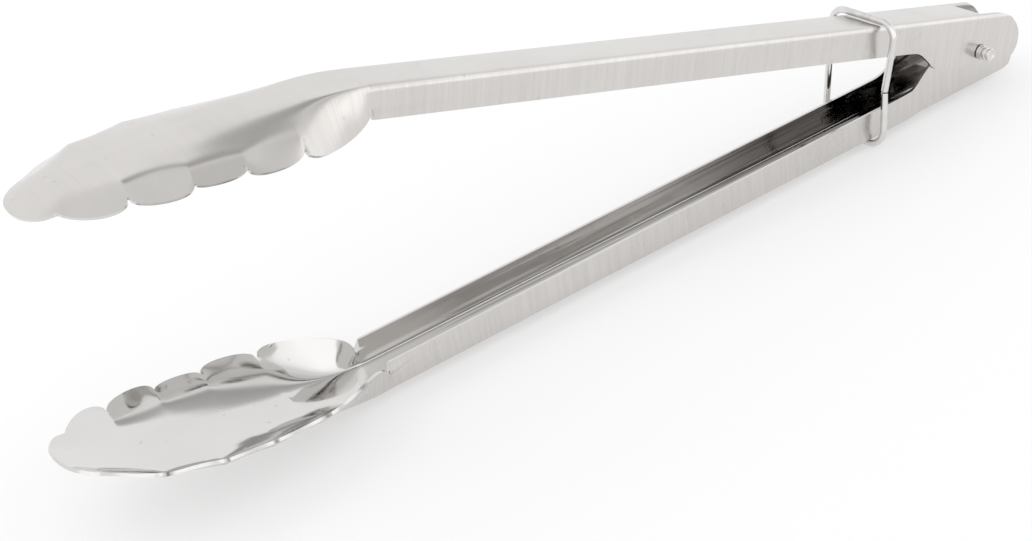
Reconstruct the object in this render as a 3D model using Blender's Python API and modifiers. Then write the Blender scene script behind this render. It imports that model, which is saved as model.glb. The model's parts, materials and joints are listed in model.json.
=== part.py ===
"""Kitchen tongs: two pressed channel arms with scalloped heads, a hinge pin, a torsion spring and a wire lock ring.

The tongs rest open on the lower arm. X runs from the tips to the hinge, Y is the pin's direction and Z is up.
Lengths are in metres.
"""

import math

import bmesh
import bpy
from mathutils import Matrix, Vector

# Driving dimensions of an arm. A distance along an arm is measured from the pin's axis towards the tips,
# and a height from the outer face of the arm's web towards the other arm.
ARM_REACH = 0.2913
UPPER_EAR_REACH = 0.0174
LOWER_EAR_REACH = 0.0160
HEAD_LENGTH = 0.0798
HEAD_WIDTH = 0.0410
TIP_RISE = 0.0204
CHANNEL_WIDTH = 0.0150
FLANGE_HEIGHT = 0.0092
FLANGE_HEIGHT_AT_HEAD = 0.0081
SHEET = 0.0008
FOLD_RADIUS = 0.00155
EAR_DEPTH = 0.0154
EAR_RAMP_START = 0.0300
EAR_RAMP_END = 0.0165
EAR_NECK_START = 0.0310
EAR_NECK_END = 0.0230
PIN_HEIGHT = EAR_DEPTH * 0.724
OPENING = math.radians(15.16)
RUNNING_GAP = 0.0003

# Driving dimensions of the pin, the ring and the spring.
PIN_DIAMETER = 0.0040
PIN_STANDOUT = 0.0040
BUTTON_DIAMETER = 0.0064
BUTTON_HEIGHT = 0.0011
RING_WIRE = 0.0020
RING_INNER_WIDTH = 0.0214
RING_TOP_BEND = 0.0046
RING_BOTTOM_BEND = 0.0052
RING_TOE_IN = 0.0017
RING_SEAT = 0.0455
RING_JOINT_GAP = 0.0007
RING_JOINT_DROP = 0.0016
SPRING_WIRE = 0.0009
SPRING_GAP = 0.0006
SPRING_TURNS = 3
SPRING_POINTS_A_TURN = 24
SPRING_LEG = 0.0320

# The head's section changes along its length. Each station is a share of the head's length from where it starts,
# half widths are shares of half the head's width and heights are shares of the tip's rise. A section runs from
# the middle to the knee, where the web ends, to the crease, where the rim starts, and to the root of the scallops.
HEAD_STATION_SHARES = (0.0, 0.081, 0.172, 0.284, 0.373, 0.462, 0.535, 0.609, 0.691, 0.773, 0.845, 0.918, 1.0)
CENTRE_HEIGHT_SHARES = (0.0, 0.024, 0.066, 0.142, 0.201, 0.265, 0.326, 0.392, 0.471, 0.564, 0.669, 0.787, 1.0)
KNEE_WIDTH_SHARES = (0.366, 0.366, 0.366, 0.366, 0.361, 0.356, 0.351, 0.341, 0.332, 0.312, 0.273, 0.220, 0.170)
KNEE_HEIGHT_SHARES = (0.0, 0.025, 0.069, 0.147, 0.208, 0.272, 0.336, 0.402, 0.481, 0.574, 0.676, 0.792, 1.004)
CREASE_WIDTH_SHARES = (0.371, 0.449, 0.546, 0.712, 0.761, 0.810, 0.800, 0.785, 0.727, 0.644, 0.517, 0.371, 0.300)
CREASE_HEIGHT_SHARES = (0.152, 0.176, 0.225, 0.324, 0.363, 0.412, 0.441, 0.471, 0.525, 0.593, 0.698, 0.820, 1.015)
ROOT_WIDTH_SHARES = (0.395, 0.475, 0.635, 0.824, 0.873, 0.917, 0.919, 0.922, 0.858, 0.782, 0.645, 0.478, 0.450)
ROOT_HEIGHT_SHARES = (0.240, 0.292, 0.356, 0.441, 0.481, 0.525, 0.559, 0.598, 0.640, 0.697, 0.774, 0.866, 1.050)
SCALLOP_SLOPE_DEGREES = (80.0, 60.0, 45.0, 38.0, 36.0, 38.0, 38.0, 40.0, 42.0, 36.0, 28.0, 27.0, 27.0)
KNEE_ROUND_SHARES = (0.076, 0.076, 0.100, 0.130, 0.160, 0.170, 0.180, 0.180, 0.180, 0.170, 0.140, 0.100, 0.100)

# The scallops: where each begins, as a share of the head's length, and how far it stands out from its root.
SCALLOP_START_SHARES = (0.012, 0.284, 0.462, 0.609, 0.773, 0.918)
SCALLOP_HEIGHT_SHARES = (0.212, 0.125, 0.070, 0.130, 0.165)
CUSP_STEP_SHARE = 0.012
CREASE_BOW = 0.6
SCALLOP_ROUND = 2.1
TIP_ROUND = 2.0
TIP_BEND_GROWTH = 2.6
TIP_EDGE_SHARES = (0.4, 0.7, 0.88, 0.97, 1.0)

# The ear's round end: the share of its depth where it reaches furthest, the share of its reach that stays flat,
# and the powers that shape its outline on the free side of that place and on the web's side.
EAR_MIDDLE_SHARE = 0.585
EAR_FLAT_SHARE = 0.33
EAR_ROUND_FREE = (3.2, 0.42)
UPPER_EAR_ROUND = (2.0, 0.50)
LOWER_EAR_ROUND = (7.0, 0.50)

# How finely a section and the ring's bends are sampled.
ARC_STEPS = 6
RING_BEND_STEPS = 6


def clear_scene():
    for item in list(bpy.data.objects):
        bpy.data.objects.remove(item, do_unlink=True)


def new_collection(name):
    made = bpy.data.collections.new(name)
    bpy.context.scene.collection.children.link(made)
    return made


def metal(name, colour, roughness):
    made = bpy.data.materials.new(name)
    made.use_nodes = True
    shader = made.node_tree.nodes["Principled BSDF"]
    shader.inputs["Base Color"].default_value = colour
    shader.inputs["Metallic"].default_value = 1.0
    shader.inputs["Roughness"].default_value = roughness
    made.diffuse_color = colour
    return made


def smooth_step(low, high, value):
    share = min(1.0, max(0.0, (value - low) / (high - low)))
    return share * share * (3.0 - 2.0 * share)


def smooth_table(stations, values, station):
    """The value at a station of a table, along a curve that overshoots no entry."""
    if station <= stations[0]:
        return values[0]
    if station >= stations[-1]:
        return values[-1]
    at = max(i for i in range(len(stations) - 1) if stations[i] <= station)
    slopes = [(values[i + 1] - values[i]) / (stations[i + 1] - stations[i]) for i in range(len(stations) - 1)]

    def tangent(i):
        if i == 0:
            return slopes[0]
        if i == len(slopes):
            return slopes[-1]
        if slopes[i - 1] * slopes[i] <= 0.0:
            return 0.0
        return 2.0 * slopes[i - 1] * slopes[i] / (slopes[i - 1] + slopes[i])

    width = stations[at + 1] - stations[at]
    t = (station - stations[at]) / width
    start, end = tangent(at) * width, tangent(at + 1) * width
    return (
        (2 * t**3 - 3 * t**2 + 1) * values[at]
        + (t**3 - 2 * t**2 + t) * start
        + (3 * t**2 - 2 * t**3) * values[at + 1]
        + (t**3 - t**2) * end
    )


def rounded_polyline(corners, rounds, steps):
    """Points along a line through the corners, each corner turned by an arc that starts its round before it."""
    points = [corners[0]]
    for before, corner, after, room in zip(corners, corners[1:], corners[2:], rounds):
        arm_in, arm_out = before - corner, after - corner
        reach = min(room, arm_in.length / 2, arm_out.length / 2)
        start = corner + arm_in.normalized() * reach
        end = corner + arm_out.normalized() * reach
        weight = math.sin(arm_in.angle(arm_out) / 2)
        for step in range(steps + 1):
            t = step / steps
            a, b, c = (1 - t) ** 2, 2 * weight * t * (1 - t), t**2
            points.append((start * a + corner * b + end * c) / (a + b + c))
    points.append(corners[-1])
    return points


def along(points, distances):
    """Points at the given distances along a line of points."""
    found = []
    index, passed = 0, 0.0
    for distance in distances:
        while index < len(points) - 2 and passed + (points[index + 1] - points[index]).length < distance:
            passed += (points[index + 1] - points[index]).length
            index += 1
        span = (points[index + 1] - points[index]).length
        share = (distance - passed) / span if span else 0.0
        found.append(points[index].lerp(points[index + 1], share))
    return found


def length_of(points):
    return sum((b - a).length for a, b in zip(points, points[1:]))


def scallop_arch(share):
    """The scallop at a share of the head's length: how much of its height it has there, and its height."""
    for start, end, height in zip(SCALLOP_START_SHARES, SCALLOP_START_SHARES[1:], SCALLOP_HEIGHT_SHARES):
        if start <= share <= end:
            across = 2.0 * (share - start) / (end - start) - 1.0
            return max(0.0, 1.0 - abs(across) ** SCALLOP_ROUND) ** (1.0 / SCALLOP_ROUND), TIP_RISE * height
    return 0.0, 0.0


def scallop_at(share):
    """How far the scalloped edge stands out from its root at a share of the head's length."""
    arch, height = scallop_arch(share)
    return TIP_RISE * CUSP_STEP_SHARE + height * arch


def flange_height(distance):
    head_start = ARM_REACH - HEAD_LENGTH
    share = distance / head_start
    return FLANGE_HEIGHT + (FLANGE_HEIGHT_AT_HEAD - FLANGE_HEIGHT) * max(0.0, share)


def ear_end(height, reach, web_side_round):
    """How far the ear's round end stands beyond the pin at a height above the web's outer face."""
    middle = EAR_DEPTH * EAR_MIDDLE_SHARE
    if height > middle:
        across = (height - middle) / (EAR_DEPTH - middle)
        power, root = EAR_ROUND_FREE
    else:
        across = (middle - height) / middle
        power, root = web_side_round
    return reach * (EAR_FLAT_SHARE + (1.0 - EAR_FLAT_SHARE) * (1.0 - min(1.0, across) ** power) ** root)


def channel_section(distance, half_width):
    rim = flange_height(distance)
    ramp = smooth_step(EAR_RAMP_START, EAR_RAMP_END, distance)
    depth = rim + (EAR_DEPTH - rim) * ramp
    corners = [
        Vector((0.0, 0.0, 0.0)),
        Vector((0.0, half_width, 0.0)),
        Vector((0.0, half_width, FOLD_RADIUS * 2)),
        Vector((0.0, half_width, depth)),
    ]
    return rounded_polyline(corners, (FOLD_RADIUS, FOLD_RADIUS), ARC_STEPS)


def head_line(share):
    """Half of the head's level cross-section at a share of its length, from the middle out."""
    half_head = HEAD_WIDTH / 2

    def entry(values):
        return smooth_table(HEAD_STATION_SHARES, values, share)

    slope = math.radians(entry(SCALLOP_SLOPE_DEGREES))
    root = Vector((0.0, half_head * entry(ROOT_WIDTH_SHARES), TIP_RISE * entry(ROOT_HEIGHT_SHARES)))
    knee = Vector((0.0, half_head * entry(KNEE_WIDTH_SHARES), TIP_RISE * entry(KNEE_HEIGHT_SHARES)))
    crease = Vector((0.0, half_head * entry(CREASE_WIDTH_SHARES), TIP_RISE * entry(CREASE_HEIGHT_SHARES)))
    # Each scallop is pressed as a lens, so its crease curves in towards the knee as its edge curves out.
    arch, height = scallop_arch(share)
    inward = CREASE_BOW * height * arch**2 / max((crease - knee).length, SHEET)
    corners = [
        Vector((0.0, 0.0, TIP_RISE * entry(CENTRE_HEIGHT_SHARES))),
        knee,
        crease.lerp(knee, min(inward, CREASE_BOW)),
        root + Vector((0.0, math.cos(slope), math.sin(slope))) * scallop_at(share),
    ]
    knee_round = half_head * entry(KNEE_ROUND_SHARES)
    return rounded_polyline(corners, (knee_round, FOLD_RADIUS), ARC_STEPS)


def height_at(line, width):
    """The height of a cross-section at a distance from the middle."""
    inner, outer = line[-2], line[-1]
    for a, b in zip(line, line[1:]):
        if a.y <= width <= b.y and b.y > a.y:
            inner, outer = a, b
            break
    return inner.z + (outer.z - inner.z) * (width - inner.y) / (outer.y - inner.y)


def head_section(share):
    """Near the tip a section bends forward over the dish, until the last one runs round the tip's edge."""
    line = head_line(share)
    start, last = SCALLOP_START_SHARES[-2:]
    forward = (max(0.0, share - start) / (last - start)) ** TIP_BEND_GROWTH
    tip_half_width = HEAD_WIDTH / 2 * ROOT_WIDTH_SHARES[-2] + TIP_RISE * CUSP_STEP_SHARE
    inner, outer = line[-2:]
    for part in TIP_EDGE_SHARES:
        width = inner.y + (tip_half_width - inner.y) * part
        if inner.y < width < outer.y:
            line.insert(-1, inner.lerp(outer, (width - inner.y) / (outer.y - inner.y)))
    for point in line:
        inside = 1.0 - min(1.0, point.y / tip_half_width) ** TIP_ROUND
        ahead = forward * (1.0 - last) * inside ** (1.0 / TIP_ROUND)
        if ahead > 0.0:
            point.x = ahead * HEAD_LENGTH
            point.z = height_at(head_line(share + ahead), point.y)
    return line


def section(distance, half_width):
    """The outer face of half an arm at a distance: points from the middle out, and where its first arc begins."""
    head_start = ARM_REACH - HEAD_LENGTH
    if distance <= head_start:
        line = channel_section(distance, half_width)
    else:
        line = head_section((distance - head_start) / HEAD_LENGTH)
    return line, length_of(line[:2]), length_of(line[: ARC_STEPS + 2])


def arm_rows():
    """Distances of the arm's sections from the pin, hinge end first, then those of the head."""
    head_start = ARM_REACH - HEAD_LENGTH
    rows = []
    ramp = EAR_RAMP_START - EAR_RAMP_END
    rows += [EAR_RAMP_END * share for share in (0.35, 0.6, 0.8, 1.0)]
    rows += [EAR_RAMP_END + ramp * share for share in (0.15, 0.3, 0.45, 0.6, 0.75, 0.9, 1.05)]
    rows += [head_start * share for share in (0.30, 0.55, 0.80, 0.93, 0.965, 0.985, 0.9999)]
    starts = SCALLOP_START_SHARES
    for start, end in zip(starts, starts[1:]):
        for share in (0.0, 0.03, 0.09, 0.19, 0.34, 0.5, 0.66, 0.81, 0.91, 0.97):
            rows.append(head_start + HEAD_LENGTH * (start + (end - start) * share))
    rows.append(head_start + HEAD_LENGTH * starts[-1])
    return rows


WEB_SHARES = (0.0, 0.4, 0.8)
FOLD_SHARES = (0.0, 0.25, 0.5, 0.75, 1.0)
RIM_SHARES = (0.14, 0.28, 0.42, 0.56, 0.70, 0.85, 1.0)


def half_columns(distance, half_width):
    """The outer face's points of one half section, from the middle to the free edge."""
    line, fold_start, fold_end = section(distance, half_width)
    edge = length_of(line)
    places = [fold_start * share for share in WEB_SHARES]
    places += [fold_start + (fold_end - fold_start) * share for share in FOLD_SHARES]
    places += [fold_end + (edge - fold_end) * share for share in RIM_SHARES]
    return along(line, places)


def arm_mesh(name, half_width, ear_half_width, ear_reach, ear_round):
    """The arm's outer face as an open surface, its pin axis at the origin."""
    web_end = PIN_HEIGHT * 0.11
    mesh = bpy.data.meshes.new(name)
    faces_of = bmesh.new()
    rows = []
    # Beyond the web's end only the two ears go on, and their sections lean into the round end.
    for lean in (1.0, 0.94, 0.84, 0.68, 0.46, 0.22, 0.0):
        half = half_columns(web_end, ear_half_width)
        for point in half:
            point.x = -web_end + (ear_end(point.z, ear_reach, ear_round) + web_end) * lean
        rows.append((half, lean > 0.0))
    for distance in arm_rows():
        neck = smooth_step(EAR_NECK_START, EAR_NECK_END, distance)
        width = half_width + (ear_half_width - half_width) * neck
        half = half_columns(distance, width)
        for point in half:
            point.x = -distance - point.x
        rows.append((half, False))
    grid = []
    for half, _ in rows:
        near = [Vector((p.x, -p.y, p.z)) for p in reversed(half[1:])]
        line = [p - Vector((0.0, 0.0, PIN_HEIGHT)) for p in near + half]
        grid.append([faces_of.verts.new(p) for p in line])
    middle = len(rows[0][0]) - 1
    open_columns = range(middle - len(WEB_SHARES), middle + len(WEB_SHARES))
    for index, (row, following) in enumerate(zip(grid, grid[1:])):
        for column in range(len(row) - 1):
            if rows[index][1] and column in open_columns:
                continue
            faces_of.faces.new((row[column], row[column + 1], following[column + 1], following[column]))
    loose = [vertex for vertex in faces_of.verts if not vertex.link_faces]
    bmesh.ops.delete(faces_of, geom=loose, context="VERTS")
    bmesh.ops.recalc_face_normals(faces_of, faces=faces_of.faces)
    lowest = min(faces_of.faces, key=lambda face: face.calc_center_median().z)
    if lowest.normal.z > 0.0:
        bmesh.ops.reverse_faces(faces_of, faces=faces_of.faces)
    faces_of.to_mesh(mesh)
    faces_of.free()
    return mesh


def add_object(name, data, collection, material, parent):
    made = bpy.data.objects.new(name, data)
    collection.objects.link(made)
    if material:
        data.materials.append(material)
    made.parent = parent
    return made


def cylinder_mesh(name, radius, length, sides):
    """A cylinder along Y about the origin."""
    mesh = bpy.data.meshes.new(name)
    shape = bmesh.new()
    turn = Matrix.Rotation(math.radians(90), 4, "X")
    bmesh.ops.create_cone(
        shape, cap_ends=True, segments=sides, radius1=radius, radius2=radius, depth=length, matrix=turn
    )
    shape.to_mesh(mesh)
    shape.free()
    return mesh


def cut(target, cutter, name):
    boolean = target.modifiers.new(name, "BOOLEAN")
    boolean.operation = "DIFFERENCE"
    boolean.solver = "EXACT"
    boolean.object = cutter


def make_arm(name, sizes, parts, cutters, material, parent):
    arm = add_object(name, arm_mesh(name, *sizes), parts, material, parent)
    thickness = arm.modifiers.new("sheet", "SOLIDIFY")
    thickness.thickness = SHEET
    thickness.offset = -1.0
    thickness.use_quality_normals = True
    hole_radius = PIN_DIAMETER / 2 + RUNNING_GAP
    drill = add_object(name + "_pin_drill", cylinder_mesh(name + "_pin_drill", hole_radius, CHANNEL_WIDTH * 2, 32),
                       cutters, None, parent)
    drill.hide_render = True
    drill.display_type = "WIRE"
    cut(arm, drill, "pin holes")
    arm.data.shade_smooth()
    arm.data.set_sharp_from_angle(angle=math.radians(50))
    return arm


def make_pin(upper_half_width, parts, material, parent):
    """The turned pin, from the far button head to the flared near end."""
    shaft = PIN_DIAMETER / 2
    far_face = upper_half_width + RUNNING_GAP
    near_face = -upper_half_width - RUNNING_GAP
    button = BUTTON_DIAMETER / 2
    collar = shaft * 1.10
    groove = shaft * 0.86
    flare = shaft * 0.98
    out = PIN_STANDOUT
    profile = [
        (0.0, far_face + BUTTON_HEIGHT),
        (button * 0.55, far_face + BUTTON_HEIGHT * 0.94),
        (button * 0.85, far_face + BUTTON_HEIGHT * 0.70),
        (button, far_face + BUTTON_HEIGHT * 0.30),
        (button, far_face),
        (shaft, far_face),
        (shaft, near_face),
        (collar, near_face),
        (collar * 1.03, near_face - out * 0.10),
        (collar * 1.03, near_face - out * 0.30),
        (collar, near_face - out * 0.36),
        (groove, near_face - out * 0.40),
        (groove, near_face - out * 0.46),
        (shaft, near_face - out * 0.50),
        (shaft, near_face - out * 0.64),
        (groove, near_face - out * 0.68),
        (groove, near_face - out * 0.74),
        (flare, near_face - out * 0.84),
        (flare, near_face - out * 0.97),
        (flare * 0.93, near_face - out),
        (flare * 0.62, near_face - out),
        (flare * 0.48, near_face - out * 0.93),
        (0.0, near_face - out * 0.90),
    ]
    mesh = bpy.data.meshes.new("hinge_pin")
    shape = bmesh.new()
    points = [shape.verts.new((radius, along_y, 0.0)) for radius, along_y in reversed(profile)]
    for a, b in zip(points, points[1:]):
        shape.edges.new((a, b))
    shape.to_mesh(mesh)
    shape.free()
    pin = add_object("hinge_pin", mesh, parts, material, parent)
    turn = pin.modifiers.new("turned", "SCREW")
    turn.axis = "Y"
    turn.steps = 28
    turn.render_steps = 28
    turn.use_merge_vertices = True
    turn.merge_threshold = FOLD_RADIUS / 100
    turn.use_normal_calculate = True
    mesh.shade_smooth()
    return pin


def wire(name, points, diameter, resolution, parts, material, parent):
    curve = bpy.data.curves.new(name, "CURVE")
    curve.dimensions = "3D"
    curve.bevel_depth = diameter / 2
    curve.bevel_resolution = resolution
    curve.use_fill_caps = True
    spline = curve.splines.new("POLY")
    spline.points.add(len(points) - 1)
    for control, point in zip(spline.points, points):
        control.co = (point.x, point.y, point.z, 1.0)
    return add_object(name, curve, parts, material, parent)


def make_ring(parts, material, parent):
    """The loop in its own plane, which stands square to the line midway between the arms."""
    half_open = OPENING / 2
    half_height = RING_SEAT * math.sin(half_open) + PIN_HEIGHT * math.cos(half_open) + RUNNING_GAP + RING_WIRE / 2
    half_width = (RING_INNER_WIDTH + RING_WIRE) / 2
    joint = -half_width + RING_TOE_IN
    corners = (
        (-half_width, half_height, RING_TOP_BEND, 180),
        (half_width, half_height, RING_TOP_BEND, 90),
        (half_width, -half_height, RING_BOTTOM_BEND, 0),
        (-half_width + RING_TOE_IN / 2, -half_height, RING_BOTTOM_BEND, -90),
    )
    points = []
    for corner_y, corner_z, bend, start in corners:
        centre = Vector((0.0, corner_y - math.copysign(bend, corner_y), corner_z - math.copysign(bend, corner_z)))
        for step in range(RING_BEND_STEPS + 1):
            angle = math.radians(start - 90 * step / RING_BEND_STEPS)
            points.append(centre + Vector((0.0, math.cos(angle), math.sin(angle))) * bend)
    # The near leg's two ends meet at the joint, which lies closer to the arms than the rest of that leg.
    points.insert(0, Vector((0.0, joint, RING_JOINT_GAP / 2 - RING_JOINT_DROP)))
    points.append(Vector((0.0, joint, -RING_JOINT_GAP / 2 - RING_JOINT_DROP)))
    ring = wire("lock_ring", points, RING_WIRE, 2, parts, material, parent)
    from_pin = RING_SEAT * math.cos(half_open) - PIN_HEIGHT * math.sin(half_open)
    ring.location = (-from_pin * math.cos(half_open), 0.0, from_pin * math.sin(half_open))
    ring.rotation_euler = (0.0, half_open, 0.0)
    return ring


def make_spring(parts, material, parent):
    """The spring's wire: the lower leg, the turns round the pin, then the upper leg, level about the middle line."""
    half_open = OPENING / 2
    coil = PIN_DIAMETER / 2 + RUNNING_GAP * 2 + SPRING_WIRE / 2
    pitch = SPRING_WIRE + SPRING_GAP
    # The leg's tip lies on the inner face of its arm's web.
    drop = PIN_HEIGHT - SHEET - RUNNING_GAP - SPRING_WIRE / 2
    tip_x = drop * math.sin(half_open) - SPRING_LEG * math.cos(half_open)
    tip_z = -drop * math.cos(half_open) - SPRING_LEG * math.sin(half_open)
    first = math.atan2(tip_z, tip_x) + math.acos(coil / math.hypot(tip_x, tip_z))
    last = math.tau * SPRING_TURNS - first
    steps = round((last - first) / math.tau * SPRING_POINTS_A_TURN)
    width = pitch * (last - first) / math.tau
    points = [Vector((tip_x, -width / 2, tip_z))]
    for step in range(steps + 1):
        share = step / steps
        angle = first + (last - first) * share
        points.append(Vector((coil * math.cos(angle), width * (share - 0.5), coil * math.sin(angle))))
    points.append(Vector((tip_x, width / 2, -tip_z)))
    spring = wire("arm_spring", points, SPRING_WIRE, 1, parts, material, parent)
    spring.rotation_euler = (0.0, half_open, 0.0)
    half_turn = SPRING_POINTS_A_TURN // 2
    gap = min(
        (points[i] - points[j]).length - SPRING_WIRE
        for i in range(1, len(points) - 1)
        for j in range(i + half_turn, len(points) - 1)
    )
    print("least gap between the spring's turns", round(gap, 6))
    return spring


def bounds_of(objects):
    graph = bpy.context.evaluated_depsgraph_get()
    low = Vector((math.inf,) * 3)
    high = Vector((-math.inf,) * 3)
    for item in objects:
        evaluated = item.evaluated_get(graph)
        mesh = evaluated.to_mesh()
        for vertex in mesh.vertices:
            place = evaluated.matrix_world @ vertex.co
            low = Vector(map(min, low, place))
            high = Vector(map(max, high, place))
        evaluated.to_mesh_clear()
    return low, high


def main():
    clear_scene()
    parts = new_collection("kitchen_tongs")
    cutters = new_collection("cutters")
    brushed = metal("brushed_steel", (0.66, 0.64, 0.62, 1.0), 0.24)
    wire_steel = metal("wire_steel", (0.70, 0.69, 0.68, 1.0), 0.18)
    pin_steel = metal("pin_steel", (0.60, 0.59, 0.58, 1.0), 0.22)
    spring_steel = metal("spring_steel", (0.45, 0.45, 0.46, 1.0), 0.30)

    # The pin's axis carries everything; the upper arm and the ring hang on it with the opening of the arms.
    pivot = bpy.data.objects.new("pin_axis", None)
    parts.objects.link(pivot)

    half_width = CHANNEL_WIDTH / 2
    upper_half_width = half_width + SHEET / 4
    lower_ear_half_width = upper_half_width - SHEET - RUNNING_GAP
    lower_sizes = (half_width, lower_ear_half_width, LOWER_EAR_REACH, LOWER_EAR_ROUND)
    upper_sizes = (upper_half_width, upper_half_width, UPPER_EAR_REACH, UPPER_EAR_ROUND)
    make_arm("lower_arm", lower_sizes, parts, cutters, brushed, pivot)
    upper = make_arm("upper_arm", upper_sizes, parts, cutters, brushed, pivot)
    upper.rotation_euler = (math.pi, OPENING, 0.0)
    make_pin(upper_half_width, parts, pin_steel, pivot)
    make_ring(parts, wire_steel, pivot)
    make_spring(parts, spring_steel, pivot)

    # The origin is the middle of the underside at rest.
    bpy.context.view_layer.update()
    shown = [item for item in parts.objects if item.type != "EMPTY"]
    low, high = bounds_of(shown)
    pivot.location = (-(low.x + high.x) / 2, -(low.y + high.y) / 2, -low.z)
    bpy.context.view_layer.update()
    print("pin axis at", [round(value, 6) for value in pivot.location])
    print("size", [round(value, 6) for value in high - low])


main()
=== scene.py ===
import json
import math

import bmesh
import bpy
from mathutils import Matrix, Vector


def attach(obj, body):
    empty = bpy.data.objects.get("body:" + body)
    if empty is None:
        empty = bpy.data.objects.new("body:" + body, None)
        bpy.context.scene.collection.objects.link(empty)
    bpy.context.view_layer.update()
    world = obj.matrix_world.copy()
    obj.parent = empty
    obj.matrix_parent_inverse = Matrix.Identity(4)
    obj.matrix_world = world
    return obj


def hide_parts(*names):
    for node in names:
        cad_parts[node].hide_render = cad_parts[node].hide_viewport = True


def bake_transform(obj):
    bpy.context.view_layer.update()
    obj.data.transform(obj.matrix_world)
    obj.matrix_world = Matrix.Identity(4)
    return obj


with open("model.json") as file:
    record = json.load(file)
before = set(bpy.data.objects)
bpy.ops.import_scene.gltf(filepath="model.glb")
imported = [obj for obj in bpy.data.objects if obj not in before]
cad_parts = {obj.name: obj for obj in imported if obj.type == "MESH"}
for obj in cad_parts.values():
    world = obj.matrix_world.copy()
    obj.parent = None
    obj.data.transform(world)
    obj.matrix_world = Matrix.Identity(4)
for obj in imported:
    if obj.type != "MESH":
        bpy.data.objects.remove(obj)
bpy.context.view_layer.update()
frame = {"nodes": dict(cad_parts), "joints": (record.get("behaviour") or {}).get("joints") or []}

# The camera looks down on the tongs from beside the heads, the way the photograph was taken.
camera_data = bpy.data.cameras.new("camera")
camera_data.sensor_width = 36.0
camera_data.lens = 56.54
camera_data.shift_x = -0.011
camera_data.shift_y = -0.001
camera_data.clip_start = 0.01
camera = bpy.data.objects.new("camera", camera_data)
bpy.context.scene.collection.objects.link(camera)
camera.location = (-0.21778, -0.29832, 0.22435)
camera.rotation_euler = (math.radians(58.650), math.radians(7.273), math.radians(-36.940))
bpy.context.scene.camera = camera

# The two arms. Each is one strip of stainless sheet, pressed into a channel whose far end is a dished,
# scalloped head. The outside is rubbed across the arm with a fine belt; the inside keeps the mill's polish.
OUTSIDE_COLOUR = (0.688, 0.667, 0.646)
INSIDE_COLOUR = (0.720, 0.710, 0.697)
# The tint for real marks, and for painted shade on the cut edge.
MARKS_AND_EDGE_SHADE_TINT = (0.88, 0.88, 0.88)
# The colour multiplied in as painted shade inside the channel.
CHANNEL_SHADE_TINT = (0.40, 0.388, 0.38)
INSIDE_ROUGHNESS = 0.06
SHEET_BUMP = 0.00003
SHEET_SHARP_ANGLE = 32.0
CUT_EDGE_ANGLE = 60.0
QUAD_ANGLE = 60.0
MERGE_WITHIN = 0.000002
SQUARE_TO_PIN = 0.99
HINGE = next(joint["pos_m"] for joint in frame["joints"] if joint["name"] == "arm_hinge")
HINGE_AXIS = (HINGE[0], HINGE[2])
HOLE_EDGE = 0.0027
ARMS_OPEN_BY = 15.16
HALF_OF_PLAIN_HANDLE = 0.05
HEAD_BEGINS = -0.060
HANDLE_BEGINS = -0.040
BOWL_BEGINS = -0.080
BOWL_EASING_STEPS = 12
# Where along the arm the channel's painted shade begins and where it is full. The channel's ripples change
# depth over the same span.
CHANNEL_SHADE_BEGINS = 0.020
CHANNEL_SHADE_FULL = 0.075
SCRATCH_WIDTH = 0.004


def only_select(piece):
    bpy.ops.object.select_all(action="DESELECT")
    piece.select_set(True)
    bpy.context.view_layer.objects.active = piece


def merged_copy(node, name):
    """A copy of a node with its loose triangles joined up into four-sided faces."""
    piece = bpy.data.objects.new(name, frame["nodes"][node].data.copy())
    bpy.context.scene.collection.objects.link(piece)
    piece.data.materials.clear()
    only_select(piece)
    widest = math.radians(QUAD_ANGLE)
    bpy.ops.object.mode_set(mode="EDIT")
    bpy.ops.mesh.select_all(action="SELECT")
    bpy.ops.mesh.customdata_custom_splitnormals_clear()
    bpy.ops.mesh.remove_doubles(threshold=MERGE_WITHIN)
    bpy.ops.mesh.tris_convert_to_quads(face_threshold=widest, shape_threshold=widest)
    bpy.ops.object.mode_set(mode="OBJECT")
    return piece


def round_between_edges(piece, levels, sharp_angle):
    """Rounds a piece between its sharp edges, which stay sharp, and keeps flat what is square to the pin."""
    shape = bmesh.new()
    shape.from_mesh(piece.data)
    crease = shape.edges.layers.float.new("crease_edge")
    for edge in shape.edges:
        if len(edge.link_faces) != 2 or edge.calc_face_angle() > math.radians(sharp_angle):
            edge[crease] = 1.0
    for face in shape.faces:
        from_axis = min(math.dist((corner.co.x, corner.co.z), HINGE_AXIS) for corner in face.verts)
        if abs(face.normal.y) > SQUARE_TO_PIN and from_axis < HOLE_EDGE:
            for edge in face.edges:
                edge[crease] = 1.0
    shape.to_mesh(piece.data)
    shape.free()
    rounding = piece.modifiers.new("rounding", "SUBSURF")
    rounding.levels = levels
    rounding.render_levels = levels
    only_select(piece)
    bpy.ops.object.modifier_apply(modifier="rounding")
    bpy.ops.object.shade_smooth_by_angle(angle=math.radians(sharp_angle))


def mark_sides(piece, up):
    """Marks each face of a sheet as outside or as cut edge. What is neither is the inside."""
    shape = bmesh.new()
    shape.from_mesh(piece.data)
    outside = shape.faces.layers.float.new("outside")
    cut_edge = shape.faces.layers.float.new("cut_edge")
    shape.normal_update()
    handle = [face for face in shape.faces if abs(face.calc_center_median().x) < HALF_OF_PLAIN_HANDLE]
    for face in shape.faces:
        face[cut_edge] = 1.0
    # Each side starts from one face of the handle's web and spreads until it comes to the cut edge.
    for side, value in ((1.0, 1.0), (-1.0, 0.0)):
        waiting = [max(handle, key=lambda face: face.normal.z * up * side)]
        while waiting:
            face = waiting.pop()
            face[cut_edge] = 0.0
            face[outside] = value
            for edge in face.edges:
                if edge.calc_face_angle(0.0) < math.radians(CUT_EDGE_ANGLE):
                    waiting += [other for other in edge.link_faces if other[cut_edge] == 1.0]
    shape.to_mesh(piece.data)
    shape.free()


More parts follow.
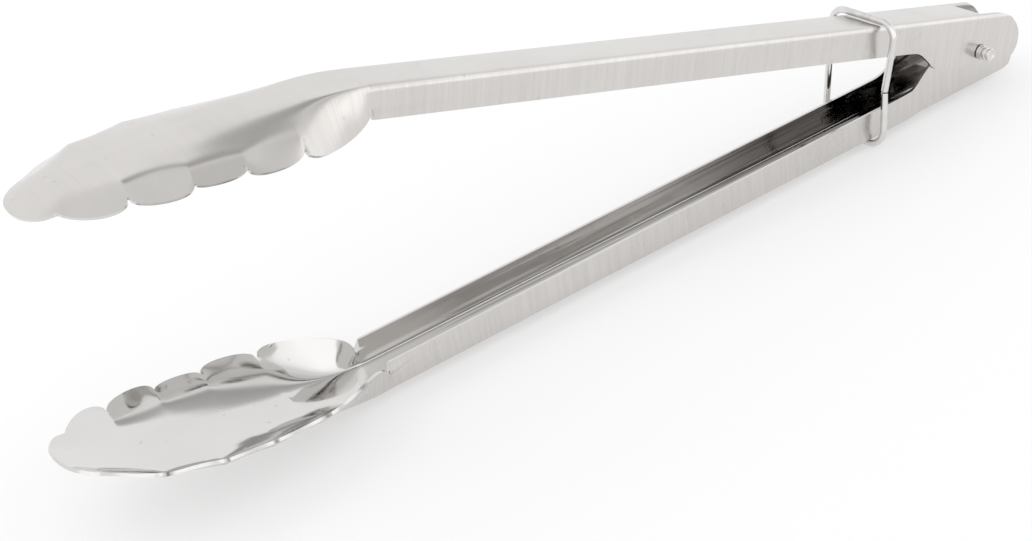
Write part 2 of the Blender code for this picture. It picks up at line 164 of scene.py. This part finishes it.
def soften_bowl(piece):
    """Eases the folds of the bowl's inside, which the press leaves rounder than the outside's."""
    outside = piece.data.attributes["outside"].data
    cut_edge = piece.data.attributes["cut_edge"].data
    all_inside = {}
    for polygon in piece.data.polygons:
        inside = outside[polygon.index].value == 0.0 and cut_edge[polygon.index].value == 0.0
        for index in polygon.vertices:
            all_inside[index] = all_inside.get(index, True) and inside
    ahead = [vertex.index for vertex in piece.data.vertices if vertex.co.x < BOWL_BEGINS]
    bowl = piece.vertex_groups.new(name="bowl")
    bowl.add([index for index in ahead if all_inside[index]], 1.0, "REPLACE")
    easing = piece.modifiers.new("easing", "SMOOTH")
    easing.factor = 0.5
    easing.iterations = BOWL_EASING_STEPS
    easing.vertex_group = "bowl"
    only_select(piece)
    bpy.ops.object.modifier_apply(modifier="easing")


def math_node(tree, operation, a, b=None, c=None, clamp=False):
    """A maths node. Each of a, b and c is a plain number or a socket."""
    node = tree.nodes.new("ShaderNodeMath")
    node.operation = operation
    node.use_clamp = clamp
    for index, value in enumerate((a, b, c)):
        if value is None:
            continue
        if isinstance(value, (int, float)):
            node.inputs[index].default_value = value
        else:
            tree.links.new(value, node.inputs[index])
    return node.outputs["Value"]


def weighted_sum(tree, total, parts):
    """Adds sockets to a starting number, each times its own weight."""
    for socket, weight in parts:
        total = math_node(tree, "MULTIPLY_ADD", socket, weight, total)
    return total


def mix_node(tree, factor, a, b, blend="MIX"):
    """Mixes two colours. Each is a plain colour or a socket."""
    mix = tree.nodes.new("ShaderNodeMix")
    mix.data_type = "RGBA"
    mix.blend_type = blend
    tree.links.new(factor, mix.inputs["Factor"])
    for name, colour in (("A", a), ("B", b)):
        if isinstance(colour, tuple):
            mix.inputs[name].default_value = (*colour, 1.0)
        else:
            tree.links.new(colour, mix.inputs[name])
    return mix.outputs["Result"]


def noise_node(tree, vector, scale, detail, roughness, stretch=None):
    """A noise texture, with its coordinates stretched if asked."""
    if stretch is not None:
        squeeze = tree.nodes.new("ShaderNodeVectorMath")
        squeeze.operation = "MULTIPLY"
        squeeze.inputs[1].default_value = stretch
        tree.links.new(vector, squeeze.inputs[0])
        vector = squeeze.outputs["Vector"]
    noise = tree.nodes.new("ShaderNodeTexNoise")
    noise.inputs["Scale"].default_value = scale
    noise.inputs["Detail"].default_value = detail
    noise.inputs["Roughness"].default_value = roughness
    tree.links.new(vector, noise.inputs["Vector"])
    return noise.outputs["Fac"]


def ramp_node(tree, value, low, high, to_low=0.0, to_high=1.0):
    """A smooth rise from to_low, where the value is low, to to_high, where it is high."""
    ramp = tree.nodes.new("ShaderNodeMapRange")
    ramp.interpolation_type = "SMOOTHSTEP"
    tree.links.new(value, ramp.inputs["Value"])
    for name, number in (("From Min", low), ("From Max", high), ("To Min", to_low), ("To Max", to_high)):
        ramp.inputs[name].default_value = number
    return ramp.outputs["Result"]


def axis_node(tree, vector, axis):
    split = tree.nodes.new("ShaderNodeSeparateXYZ")
    tree.links.new(vector, split.inputs["Vector"])
    return split.outputs[axis]


def mark_node(tree, name):
    mark = tree.nodes.new("ShaderNodeAttribute")
    mark.attribute_name = name
    return mark.outputs["Fac"]


def add_bump(tree, height, strength, distance):
    bump = tree.nodes.new("ShaderNodeBump")
    bump.inputs["Strength"].default_value = strength
    bump.inputs["Distance"].default_value = distance
    tree.links.new(height, bump.inputs["Height"])
    tree.links.new(bump.outputs["Normal"], tree.nodes["Principled BSDF"].inputs["Normal"])


def steel_material(name):
    made = bpy.data.materials.new(name)
    made.use_nodes = True
    made.node_tree.nodes["Principled BSDF"].inputs["Metallic"].default_value = 1.0
    return made


def new_group(name, outputs):
    """A node group that takes a place on the piece and puts out plain numbers."""
    group = bpy.data.node_groups.new(name, "ShaderNodeTree")
    group.interface.new_socket("Vector", in_out="INPUT", socket_type="NodeSocketVector")
    for output in outputs:
        group.interface.new_socket(output, in_out="OUTPUT", socket_type="NodeSocketFloat")
    start = group.nodes.new("NodeGroupInput")
    end = group.nodes.new("NodeGroupOutput")
    return group, start.outputs["Vector"], end


def place_group(tree, group, vector):
    node = tree.nodes.new("ShaderNodeGroup")
    node.node_tree = group
    tree.links.new(vector, node.inputs["Vector"])
    return node


def belt_lines_group():
    """What a belt leaves on steel: lines across the work in two widths, and patches of harder pressing."""
    group, vector, end = new_group("belt_lines", ("Lines", "Patches"))
    fine = noise_node(group, vector, scale=2600.0, detail=2.0, roughness=0.5, stretch=(1.0, 0.02, 0.02))
    broad = noise_node(group, vector, scale=620.0, detail=2.0, roughness=0.6, stretch=(1.0, 0.05, 0.05))
    lines = weighted_sum(group, 0.0, ((broad, 0.5), (fine, 0.5)))
    patches = noise_node(group, vector, scale=45.0, detail=3.0, roughness=0.5)
    group.links.new(ramp_node(group, lines, 0.32, 0.68), end.inputs["Lines"])
    group.links.new(ramp_node(group, patches, 0.35, 0.65), end.inputs["Patches"])
    return group


def use_marks_group():
    """Use marks: thin scratches that run every way, and a few small dents."""
    group, vector, end = new_group("use_marks", ("Scratches", "Dents"))
    found = []
    for turn, scale in (((0.5, 0.35, 0.5), 150.0), ((1.9, 1.33, 1.9), 190.0), ((2.7, 1.89, 2.7), 120.0)):
        mapping = group.nodes.new("ShaderNodeMapping")
        mapping.inputs["Rotation"].default_value = turn
        group.links.new(vector, mapping.inputs["Vector"])
        turned = mapping.outputs["Vector"]
        thread = noise_node(group, turned, scale=scale, detail=0.0, roughness=0.5, stretch=(0.09, 1.0, 1.0))
        from_middle = math_node(group, "ABSOLUTE", math_node(group, "SUBTRACT", thread, 0.5))
        found.append(ramp_node(group, from_middle, SCRATCH_WIDTH, 0.0))
    scratches = math_node(group, "MAXIMUM", found[0], math_node(group, "MAXIMUM", found[1], found[2]))
    worn = noise_node(group, vector, scale=80.0, detail=2.0, roughness=0.5)
    scratches = math_node(group, "MULTIPLY", scratches, ramp_node(group, worn, 0.55, 0.66))
    group.links.new(scratches, end.inputs["Scratches"])
    spots = noise_node(group, vector, scale=420.0, detail=1.0, roughness=0.5)
    group.links.new(ramp_node(group, spots, 0.71, 0.80), end.inputs["Dents"])
    return group


belt_lines = belt_lines_group()
use_marks = use_marks_group()


def sheet_steel(name, turn):
    """The arms' steel, its belt lines square to an arm that is turned by so much about the pin."""
    made = steel_material(name)
    tree = made.node_tree
    shader = tree.nodes["Principled BSDF"]
    place = tree.nodes.new("ShaderNodeTexCoord")
    mapping = tree.nodes.new("ShaderNodeMapping")
    mapping.inputs["Rotation"].default_value = (0.0, turn, 0.0)
    tree.links.new(place.outputs["Object"], mapping.inputs["Vector"])
    on_arm = mapping.outputs["Vector"]
    belt = place_group(tree, belt_lines, on_arm)
    patches = belt.outputs["Patches"]
    marks = place_group(tree, use_marks, place.outputs["Object"])
    scratches = marks.outputs["Scratches"]
    dents = marks.outputs["Dents"]
    outside = mark_node(tree, "outside")
    cut_edge = mark_node(tree, "cut_edge")
    along = axis_node(tree, on_arm, "X")
    sideways = math_node(tree, "ABSOLUTE", axis_node(tree, place.outputs["Normal"], "Y"))

    # Painted shade on the channel's inner walls: dark streaks along the arm, and a darkening towards the
    # hinge.
    covered = math_node(tree, "ADD", outside, cut_edge)
    handle = ramp_node(tree, along, HEAD_BEGINS, HANDLE_BEGINS)
    channel = math_node(tree, "MULTIPLY", math_node(tree, "SUBTRACT", 1.0, covered), handle)
    streaks = noise_node(tree, on_arm, scale=620.0, detail=4.0, roughness=0.55, stretch=(0.02, 1.0, 1.0))
    streak_shade = ramp_node(tree, streaks, 0.50, 0.60)
    shade_towards_hinge = ramp_node(tree, along, CHANNEL_SHADE_BEGINS, CHANNEL_SHADE_FULL, to_high=0.80)
    painted_channel_shade = math_node(tree, "MULTIPLY_ADD", streak_shade, 0.60, shade_towards_hinge, clamp=True)
    painted_channel_shade = math_node(tree, "MULTIPLY", painted_channel_shade, ramp_node(tree, sideways, 0.5, 0.9))
    painted_channel_shade = math_node(tree, "MULTIPLY", painted_channel_shade, channel)

    # The belt's lines count on the outside only, and most on the flanks, where it ran square to them.
    flanks = ramp_node(tree, sideways, 0.55, 0.95, to_low=0.30)
    lines = math_node(tree, "MULTIPLY", belt.outputs["Lines"], outside)
    lines = math_node(tree, "MULTIPLY", lines, flanks)

    clean = mix_node(tree, outside, INSIDE_COLOUR, OUTSIDE_COLOUR)
    # Belt lines, dents and pressing patches darken the colour as real marks; the cut edge is darkened as
    # painted shade.
    marks_and_edge_shade = weighted_sum(tree, 0.0, ((lines, 0.55), (dents, 0.9), (patches, 0.25), (cut_edge, 0.25)))
    marked_and_edge_shaded = mix_node(tree, marks_and_edge_shade, clean, MARKS_AND_EDGE_SHADE_TINT, blend="MULTIPLY")
    # The painted shade of the channel is multiplied into the colour here.
    channel_shaded = mix_node(tree, painted_channel_shade, marked_and_edge_shaded, CHANNEL_SHADE_TINT, blend="MULTIPLY")
    tree.links.new(channel_shaded, shader.inputs["Base Color"])

    rougher = ((outside, 0.11), (cut_edge, 0.12), (lines, 0.08), (patches, 0.05), (scratches, 0.06))
    tree.links.new(weighted_sum(tree, INSIDE_ROUGHNESS, rougher), shader.inputs["Roughness"])

    # Under the marks, the rolled sheet is not quite flat: it waves in long ripples, most inside the channel.
    ripples = noise_node(tree, on_arm, scale=170.0, detail=1.0, roughness=0.4, stretch=(0.05, 1.0, 1.0))
    in_channel = ramp_node(tree, along, CHANNEL_SHADE_BEGINS, CHANNEL_SHADE_FULL, to_low=16.0, to_high=7.0)
    depth = math_node(tree, "MULTIPLY_ADD", channel, in_channel, 5.0)
    height = weighted_sum(tree, 0.0, ((lines, 0.20), (ripples, depth), (scratches, -0.2), (dents, -1.0)))
    add_bump(tree, height, strength=0.5, distance=SHEET_BUMP)
    return made


for node, name, body, up, turn in (
    ("lower_arm", "lower_sheet", "lower", -1.0, 0.0),
    ("upper_arm", "upper_sheet", "upper", 1.0, -math.radians(ARMS_OPEN_BY)),
):
    sheet = merged_copy(node, name)
    mark_sides(sheet, up)
    soften_bowl(sheet)
    round_between_edges(sheet, 2, SHEET_SHARP_ANGLE)
    sheet.data.materials.append(sheet_steel(name + "_steel", turn))
    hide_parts(node)
    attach(sheet, body)

# The lock ring. One length of bright drawn wire, bent to a four-sided loop round both arms, with its
# two cut ends left butting in the middle of the near leg.
RING_COLOUR = (0.76, 0.75, 0.74)
RING_SHARP_ANGLE = 50.0
RING_LOST_IN_ROUNDING = 0.000095
LINE_SHADE = 0.82
WIRE_BUMP = 0.00002


def drawn_steel(name, colour, roughness, stretch):
    """Wire or turned steel: faint lines along or round it, cloudy polish and a few use marks."""
    made = steel_material(name)
    tree = made.node_tree
    shader = tree.nodes["Principled BSDF"]
    vector = tree.nodes.new("ShaderNodeTexCoord").outputs["Object"]
    scratches = place_group(tree, use_marks, vector).outputs["Scratches"]
    drawn = noise_node(tree, vector, scale=1500.0, detail=2.0, roughness=0.5, stretch=stretch)
    lines = ramp_node(tree, drawn, 0.3, 0.7)
    polish = noise_node(tree, vector, scale=160.0, detail=3.0, roughness=0.5)
    cloud = ramp_node(tree, polish, 0.3, 0.7)
    shaded = tuple(part * LINE_SHADE for part in colour)
    clouded_lines = math_node(tree, "MULTIPLY", lines, cloud)
    tree.links.new(mix_node(tree, clouded_lines, colour, shaded), shader.inputs["Base Color"])
    rougher = ((cloud, roughness * 0.5), (scratches, 0.15))
    tree.links.new(weighted_sum(tree, roughness * 0.75, rougher), shader.inputs["Roughness"])
    add_bump(tree, lines, strength=0.4, distance=WIRE_BUMP)
    return made


ring_wire = merged_copy("lock_ring", "ring_wire")
round_between_edges(ring_wire, 2, RING_SHARP_ANGLE)
swell = ring_wire.modifiers.new("full_wire", "DISPLACE")
swell.strength = RING_LOST_IN_ROUNDING
swell.mid_level = 0.0
only_select(ring_wire)
bpy.ops.object.modifier_apply(modifier="full_wire")
ring_steel = drawn_steel("drawn_wire", RING_COLOUR, roughness=0.14, stretch=(0.3, 0.3, 0.02))
ring_wire.data.materials.append(ring_steel)
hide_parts("lock_ring")
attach(ring_wire, "ring")

# The hinge pin. A steel pin turned on a lathe, put through all four ears. It has a flat button head on
# the far side, and its near end stands out in steps and is flared.
PIN_COLOUR = (0.72, 0.71, 0.70)
PIN_SHARP_ANGLE = 28.0
turned_pin = merged_copy("hinge_pin", "turned_pin")
round_between_edges(turned_pin, 2, PIN_SHARP_ANGLE)
pin_steel = drawn_steel("turned_steel", PIN_COLOUR, roughness=0.16, stretch=(0.02, 1.0, 0.02))
turned_pin.data.materials.append(pin_steel)
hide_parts("hinge_pin")
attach(turned_pin, "lower")

# The spring. Three turns of dull spring wire wound on the pin between the ears, with a leg along the
# inside of each arm, which it pushes apart.
SPRING_COLOUR = (0.46, 0.46, 0.47)
SPRING_SHARP_ANGLE = 50.0
wound_spring = merged_copy("arm_spring", "wound_spring")
round_between_edges(wound_spring, 1, SPRING_SHARP_ANGLE)
spring_steel = drawn_steel("spring_wire", SPRING_COLOUR, roughness=0.30, stretch=(0.05, 1.0, 0.05))
wound_spring.data.materials.append(spring_steel)
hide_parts("arm_spring")
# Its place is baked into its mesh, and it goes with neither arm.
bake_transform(wound_spring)

# The table top: a large sheet of white paper, which keeps the soft shadow of the tongs. The camera and
# the steel see it part of the way to plain white, so the shadow is lighter to them.
PAPER_COLOUR = (0.95, 0.95, 0.955)
WHITER_BY = 0.45
bpy.ops.object.select_all(action="DESELECT")
bpy.ops.mesh.primitive_plane_add(size=2.4, location=(0.0, 0.35, 0.0))
table_top = bpy.context.object
table_top.name = "table_top"
bpy.ops.object.transform_apply(location=True, rotation=True, scale=True)
paper = bpy.data.materials.new("white_paper")
paper.use_nodes = True
tree = paper.node_tree
shader = tree.nodes["Principled BSDF"]
shader.inputs["Base Color"].default_value = (*PAPER_COLOUR, 1.0)
shader.inputs["Roughness"].default_value = 0.9
shader.inputs["Specular IOR Level"].default_value = 0.0
rays = tree.nodes.new("ShaderNodeLightPath")
seen = math_node(tree, "MAXIMUM", rays.outputs["Is Camera Ray"], rays.outputs["Is Glossy Ray"])
plain_white = tree.nodes.new("ShaderNodeEmission")
whiter = tree.nodes.new("ShaderNodeMixShader")
tree.links.new(math_node(tree, "MULTIPLY", seen, WHITER_BY), whiter.inputs[0])
tree.links.new(shader.outputs["BSDF"], whiter.inputs[1])
tree.links.new(plain_white.outputs["Emission"], whiter.inputs[2])
tree.links.new(whiter.outputs["Shader"], tree.nodes["Material Output"].inputs["Surface"])
table_top.data.materials.append(paper)

# The room: plain white to the camera and to what isn't shiny. The steel mirrors more of it: soft patches
# of light in front and on the right, and of shade overhead. Each has its direction, the angles at which it
# ends and is full, and its strength, which is below zero for shade.
WHITE_STRENGTH = 1.0
SOFT_PATCHES = (
    ((-0.35, -0.75, 0.50), 45.0, 30.0, 0.36),
    ((0.70, -0.70, 0.10), 26.0, 12.0, 0.40),
    ((0.83, -0.30, 0.47), 20.0, 10.0, 0.35),
    ((0.47, 0.40, 0.79), 19.0, 6.0, -0.42),
    ((0.20, -0.10, 0.98), 50.0, 24.0, -0.14),
    ((0.51, -0.24, 0.83), 18.0, 8.0, -0.16),
)
room = bpy.data.worlds.new("studio")
room.use_nodes = True
bpy.context.scene.world = room
tree = room.node_tree
background = tree.nodes["Background"]
place = tree.nodes.new("ShaderNodeTexCoord")
mirrored = WHITE_STRENGTH
for direction, ends_at, full_at, strength in SOFT_PATCHES:
    toward = tree.nodes.new("ShaderNodeVectorMath")
    toward.operation = "DOT_PRODUCT"
    toward.inputs[1].default_value = Vector(direction).normalized()
    tree.links.new(place.outputs["Generated"], toward.inputs[0])
    edge = math.cos(math.radians(ends_at))
    full = math.cos(math.radians(full_at))
    patch = ramp_node(tree, toward.outputs["Value"], edge, full, to_high=strength)
    mirrored = math_node(tree, "ADD", mirrored, patch)
rays = tree.nodes.new("ShaderNodeLightPath")
plain = math_node(tree, "MAXIMUM", rays.outputs["Is Camera Ray"], rays.outputs["Is Diffuse Ray"])
shown = tree.nodes.new("ShaderNodeMix")
shown.data_type = "FLOAT"
tree.links.new(plain, shown.inputs["Factor"])
tree.links.new(mirrored, shown.inputs["A"])
shown.inputs["B"].default_value = WHITE_STRENGTH
background.inputs["Color"].default_value = (1.0, 1.0, 1.0, 1.0)
tree.links.new(shown.outputs["Result"], background.inputs["Strength"])

# The one lamp, a wide disk up behind the heads, gives the shadow its direction. The steel doesn't mirror it.
key_data = bpy.data.lights.new("key", "AREA")
key_data.shape = "DISK"
key_data.size = 0.8
key_data.energy = 1.2
key = bpy.data.objects.new("key", key_data)
bpy.context.scene.collection.objects.link(key)
key.location = (-0.55, 0.50, 0.85)
key.visible_glossy = False
key.rotation_euler = (-key.location).to_track_quat("-Z", "Y").to_euler()

bpy.context.scene.view_settings.view_transform = "Standard"
